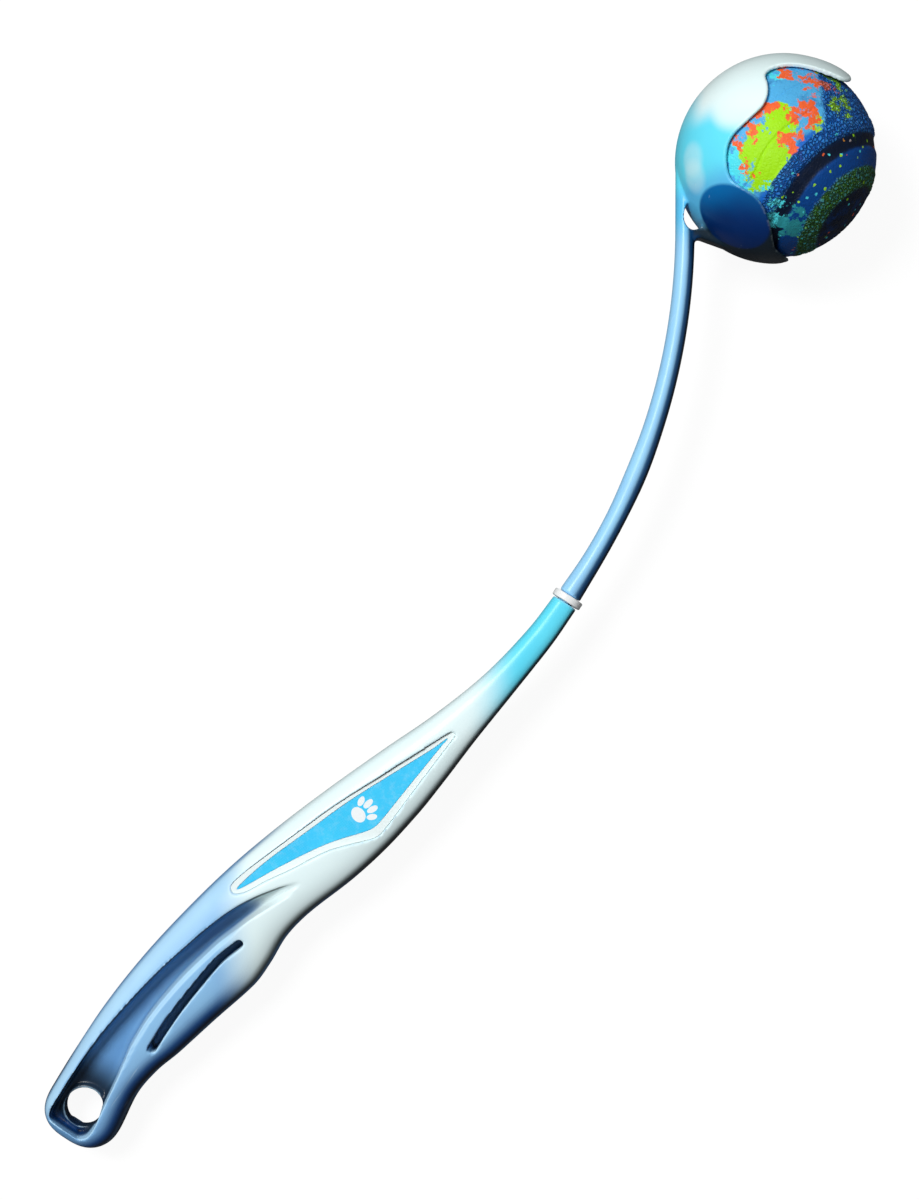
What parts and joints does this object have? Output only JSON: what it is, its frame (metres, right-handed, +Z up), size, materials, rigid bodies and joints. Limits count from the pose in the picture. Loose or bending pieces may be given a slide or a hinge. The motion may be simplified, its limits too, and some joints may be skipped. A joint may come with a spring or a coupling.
{
  "type": "dog ball thrower",
  "caption": "Hand-held dog ball thrower: a grip with a long trough and a hang hole, a slim curved shaft and an open cup with a wavy rim that holds a textured rubber ball.",
  "frame": {"origin": "middle of the part's footprint, on the ground that it lies on", "axes": "+Y along the neck towards the cup, +X to the finger side of the grip, +Z up and square to the mid-plane; the label faces +Z"},
  "size_m": [0.0667, 0.432, 0.0639],
  "materials": {
    "handle_plastic": "satin moulded plastic, light blue",
    "arm_plastic": "semi-gloss moulded plastic, light to deep blue",
    "collar_plastic": "white satin plastic",
    "label_white": "white satin plate",
    "label_blue": "bright blue film",
    "ball_rubber": "mottled multicolour rubber, pebbled bands"
  },
  "bodies": {
    "thrower": {"handle": "handle_plastic", "arm": "arm_plastic", "collar": "collar_plastic", "label_plate": "label_white", "label_film": "label_blue"},
    "ball": {"ball_shell_front": "ball_rubber", "ball_shell_back": "ball_rubber"}
  },
  "joints": [
    {"name": "ball_release", "type": "slide", "parent": "thrower", "child": "ball", "axis": [0.8387, 0.5446, 0], "range_m": [0, 0.07], "deforming": ["arm"]}
  ]
}
